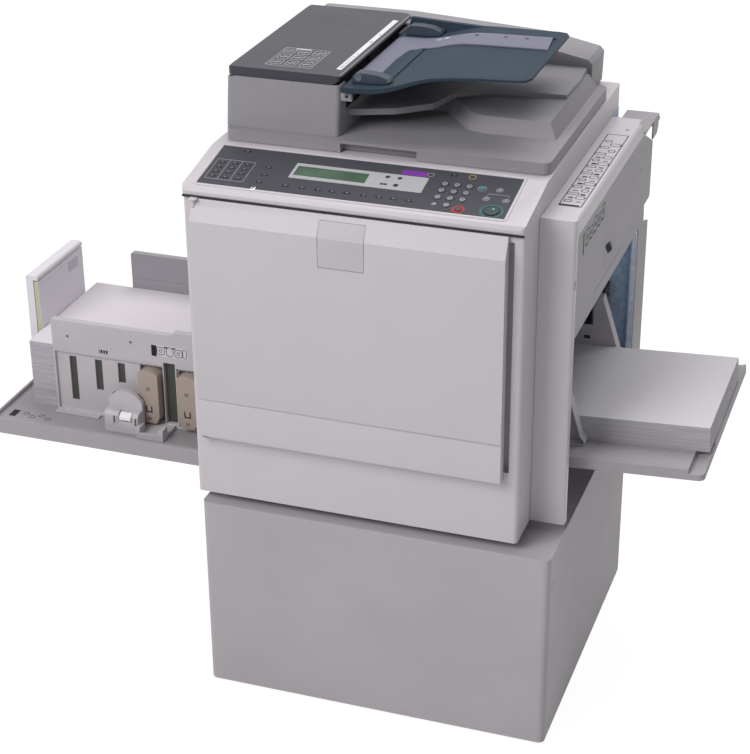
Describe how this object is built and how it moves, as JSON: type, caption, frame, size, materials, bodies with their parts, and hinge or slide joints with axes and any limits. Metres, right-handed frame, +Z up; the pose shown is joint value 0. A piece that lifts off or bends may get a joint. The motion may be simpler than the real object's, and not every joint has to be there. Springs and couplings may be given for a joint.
{
  "type": "digital duplicator",
  "caption": "Free-standing duplicator on a cabinet: hinged platen cover with document feeder, sloping console, front door, elevating feed table, delivery table and print drum.",
  "frame": {"origin": "on the floor, at the centre of the bounding box seen from above", "axes": "+X to the operator's right, where paper is fed in; +Y to the back; +Z up"},
  "size_m": [1.394, 0.802, 1.181],
  "materials": {
    "cabinet_paint": "powder coat, fine texture",
    "foot_rubber": "matt",
    "frame_steel": "zinc plated",
    "shell_light": "fine grain",
    "shell_grey": "fine grain",
    "shell_dark": "fine grain",
    "panel_paint": "satin",
    "bay_paint": "zinc plated and tinted blue",
    "black_plastic": "matt",
    "console_film": "printed film",
    "display": "clear window over green display",
    "clear_glass": "polished",
    "tray_blue": "fine grain",
    "guide_grey": "fine grain",
    "table_grey": "fine grain",
    "plate_grey": "fine grain",
    "wing_beige": "satin",
    "lever_white": "smooth",
    "fence_pale": "satin",
    "foam_yellow": "open foam",
    "paper_white": "uncoated",
    "drum_steel": "etched screen",
    "holder_green": "satin",
    "cartridge_black": "smooth",
    "roller_rubber": "ground",
    "unit_grey": "satin",
    "key_grey": "smooth",
    "key_red": "smooth",
    "key_teal": "smooth",
    "key_orange": "smooth"
  },
  "bodies": {
    "machine": {"stand_cabinet": "cabinet_paint", "rubber_feet": "foot_rubber", "machine_frame": "frame_steel", "front_frame": "shell_light", "left_cover": "panel_paint", "rear_cover": "panel_paint", "power_inlet": "black_plastic", "feed_wall": "bay_paint", "feed_front_cover": "shell_light", "feed_top_cover": "shell_light", "feed_side_cover": "panel_paint", "feed_rear_bracket": "panel_paint", "scanner_housing": "shell_light", "platen_glass": "clear_glass", "console_housing": "shell_light", "console_panel": "console_film", "display_window": "display", "drum_holder": "holder_green", "ink_cartridge": "cartridge_black", "feed_head": "black_plastic", "master_unit": "unit_grey", "master_eject_box": "unit_grey", "delivery_table": "table_grey", "delivery_paper_stack": "paper_white"},
    "front_door": {"front_door": "shell_light"},
    "platen_cover": {"platen_cover": "shell_grey", "adf_housing": "shell_grey"},
    "adf_cover": {"adf_cover": "shell_dark"},
    "adf_roller": {"adf_roller": "roller_rubber"},
    "original_tray": {"original_tray": "tray_blue"},
    "original_guide_front": {"original_guide_front": "guide_grey"},
    "original_guide_rear": {"original_guide_rear": "guide_grey"},
    "scanner_carriage": {"scanner_carriage": "black_plastic"},
    "feed_table": {"feed_table": "table_grey", "feed_paper_stack": "paper_white"},
    "feed_pad_front": {"feed_pad_front": "plate_grey"},
    "feed_pad_rear": {"feed_pad_rear": "plate_grey"},
    "delivery_plate_front": {"delivery_plate_front": "plate_grey"},
    "delivery_plate_rear": {"delivery_plate_rear": "plate_grey"},
    "delivery_wing_left": {"delivery_wing_left": "wing_beige"},
    "delivery_wing_right": {"delivery_wing_right": "wing_beige"},
    "plate_lever": {"plate_lever": "lever_white"},
    "delivery_end_plate": {"delivery_end_plate": "fence_pale", "end_plate_cushion": "foam_yellow"},
    "print_drum": {"print_drum": "drum_steel"},
    "pressure_roller": {"pressure_roller": "roller_rubber"},
    "feed_roller": {"feed_roller": "roller_rubber"},
    "start_key": {"start_key": "key_teal"},
    "stop_key": {"stop_key": "key_red"},
    "clear_key": {"clear_key": "key_orange"},
    "digit_key_1": {"digit_key_1": "key_grey"},
    "digit_key_2": {"digit_key_2": "key_grey"},
    "digit_key_3": {"digit_key_3": "key_grey"},
    "digit_key_4": {"digit_key_4": "key_grey"},
    "digit_key_5": {"digit_key_5": "key_grey"},
    "digit_key_6": {"digit_key_6": "key_grey"},
    "digit_key_7": {"digit_key_7": "key_grey"},
    "digit_key_8": {"digit_key_8": "key_grey"},
    "digit_key_9": {"digit_key_9": "key_grey"},
    "digit_key_0": {"digit_key_0": "key_grey"}
  },
  "joints": [
    {"name": "door_hinge", "type": "hinge", "parent": "machine", "child": "front_door", "pos_m": [-0.175, -0.389, 0.767], "axis": [0, 0, -1], "range_deg": [0, 100]},
    {"name": "cover_hinge", "type": "hinge", "parent": "machine", "child": "platen_cover", "pos_m": [0.09, 0.295, 1.052], "axis": [-1, 0, 0], "range_deg": [0, 60]},
    {"name": "adf_cover_hinge", "type": "hinge", "parent": "platen_cover", "child": "adf_cover", "pos_m": [-0.184, 0, 1.156], "axis": [0, -1, 0], "range_deg": [0, 80]},
    {"name": "adf_roller_spin", "type": "hinge", "parent": "platen_cover", "child": "adf_roller", "pos_m": [-0.032, 0, 1.131], "axis": [0, 1, 0], "continuous": true},
    {"name": "original_tray_lift", "type": "hinge", "parent": "platen_cover", "child": "original_tray", "pos_m": [0.031, -0.013, 1.132], "axis": [0, -1, 0], "range_deg": [0, 15]},
    {"name": "original_guide_front_slide", "type": "slide", "parent": "original_tray", "child": "original_guide_front", "axis": [0, 1, 0], "range_m": [0, 0.085]},
    {"name": "original_guide_rear_slide", "type": "slide", "parent": "original_tray", "child": "original_guide_rear", "axis": [0, -1, 0], "range_m": [0, 0.085]},
    {"name": "carriage_slide", "type": "slide", "parent": "machine", "child": "scanner_carriage", "axis": [1, 0, 0], "range_m": [0, 0.42]},
    {"name": "feed_table_lift", "type": "slide", "parent": "machine", "child": "feed_table", "axis": [0, 0, 1], "range_m": [-0.07, 0.06]},
    {"name": "feed_pad_front_slide", "type": "slide", "parent": "feed_table", "child": "feed_pad_front", "axis": [0, -1, 0], "range_m": [0, 0.014]},
    {"name": "feed_pad_rear_slide", "type": "slide", "parent": "feed_table", "child": "feed_pad_rear", "axis": [0, 1, 0], "range_m": [0, 0.014]},
    {"name": "delivery_plate_front_slide", "type": "slide", "parent": "machine", "child": "delivery_plate_front", "axis": [0, -1, 0], "range_m": [0, 0.01]},
    {"name": "delivery_plate_rear_slide", "type": "slide", "parent": "machine", "child": "delivery_plate_rear", "axis": [0, 1, 0], "range_m": [0, 0.01]},
    {"name": "delivery_end_plate_slide", "type": "slide", "parent": "machine", "child": "delivery_end_plate", "axis": [-1, 0, 0], "range_m": [0, 0.008]},
    {"name": "plate_lever_hinge", "type": "hinge", "parent": "delivery_plate_front", "child": "plate_lever", "pos_m": [-0.42, -0.2161, 0.457], "axis": [1, 0, 0], "range_deg": [0, 12], "stiffness_Nm_per_rad": 0.3},
    {"name": "drum_spin", "type": "hinge", "parent": "machine", "child": "print_drum", "pos_m": [0.102, 0, 0.756], "axis": [0, 1, 0], "continuous": true},
    {"name": "pressure_roller_spin", "type": "hinge", "parent": "machine", "child": "pressure_roller", "pos_m": [0.102, 0, 0.634], "axis": [0, 1, 0], "continuous": true},
    {"name": "feed_roller_spin", "type": "hinge", "parent": "machine", "child": "feed_roller", "pos_m": [0.286, 0, 0.671], "axis": [0, 1, 0], "continuous": true},
    {"name": "delivery_wing_left_hinge", "type": "hinge", "parent": "delivery_plate_front", "child": "delivery_wing_left", "pos_m": [-0.404, -0.1727, 0.4845], "axis": [0, 0, -1], "range_deg": [0, 10]},
    {"name": "delivery_wing_right_hinge", "type": "hinge", "parent": "delivery_plate_front", "child": "delivery_wing_right", "pos_m": [-0.323, -0.1727, 0.4845], "axis": [0, 0, -1], "range_deg": [0, 10]},
    {"name": "start_key_press", "type": "slide", "parent": "machine", "child": "start_key", "axis": [0, 0.1867, -0.9824], "range_m": [0, 0.0015], "stiffness_N_per_m": 900},
    {"name": "stop_key_press", "type": "slide", "parent": "machine", "child": "stop_key", "axis": [0, 0.1867, -0.9824], "range_m": [0, 0.0015], "stiffness_N_per_m": 500},
    {"name": "clear_key_press", "type": "slide", "parent": "machine", "child": "clear_key", "axis": [0, 0.1867, -0.9824], "range_m": [0, 0.0015], "stiffness_N_per_m": 500},
    {"name": "digit_key_1_press", "type": "slide", "parent": "machine", "child": "digit_key_1", "axis": [0, 0.1867, -0.9824], "range_m": [0, 0.0015], "stiffness_N_per_m": 500},
    {"name": "digit_key_2_press", "type": "slide", "parent": "machine", "child": "digit_key_2", "axis": [0, 0.1867, -0.9824], "range_m": [0, 0.0015], "stiffness_N_per_m": 500},
    {"name": "digit_key_3_press", "type": "slide", "parent": "machine", "child": "digit_key_3", "axis": [0, 0.1867, -0.9824], "range_m": [0, 0.0015], "stiffness_N_per_m": 500},
    {"name": "digit_key_4_press", "type": "slide", "parent": "machine", "child": "digit_key_4", "axis": [0, 0.1867, -0.9824], "range_m": [0, 0.0015], "stiffness_N_per_m": 500},
    {"name": "digit_key_5_press", "type": "slide", "parent": "machine", "child": "digit_key_5", "axis": [0, 0.1867, -0.9824], "range_m": [0, 0.0015], "stiffness_N_per_m": 500},
    {"name": "digit_key_6_press", "type": "slide", "parent": "machine", "child": "digit_key_6", "axis": [0, 0.1867, -0.9824], "range_m": [0, 0.0015], "stiffness_N_per_m": 500},
    {"name": "digit_key_7_press", "type": "slide", "parent": "machine", "child": "digit_key_7", "axis": [0, 0.1867, -0.9824], "range_m": [0, 0.0015], "stiffness_N_per_m": 500},
    {"name": "digit_key_8_press", "type": "slide", "parent": "machine", "child": "digit_key_8", "axis": [0, 0.1867, -0.9824], "range_m": [0, 0.0015], "stiffness_N_per_m": 500},
    {"name": "digit_key_9_press", "type": "slide", "parent": "machine", "child": "digit_key_9", "axis": [0, 0.1867, -0.9824], "range_m": [0, 0.0015], "stiffness_N_per_m": 500},
    {"name": "digit_key_0_press", "type": "slide", "parent": "machine", "child": "digit_key_0", "axis": [0, 0.1867, -0.9824], "range_m": [0, 0.0015], "stiffness_N_per_m": 500}
  ],
  "couplings": [
    {"joint": "original_guide_rear_slide", "follows": "original_guide_front_slide", "ratio": 1},
    {"joint": "feed_pad_rear_slide", "follows": "feed_pad_front_slide", "ratio": 1},
    {"joint": "delivery_plate_rear_slide", "follows": "delivery_plate_front_slide", "ratio": 1},
    {"joint": "pressure_roller_spin", "follows": "drum_spin", "ratio": -3.8934},
    {"joint": "feed_roller_spin", "follows": "drum_spin", "ratio": 4.3182}
  ]
}
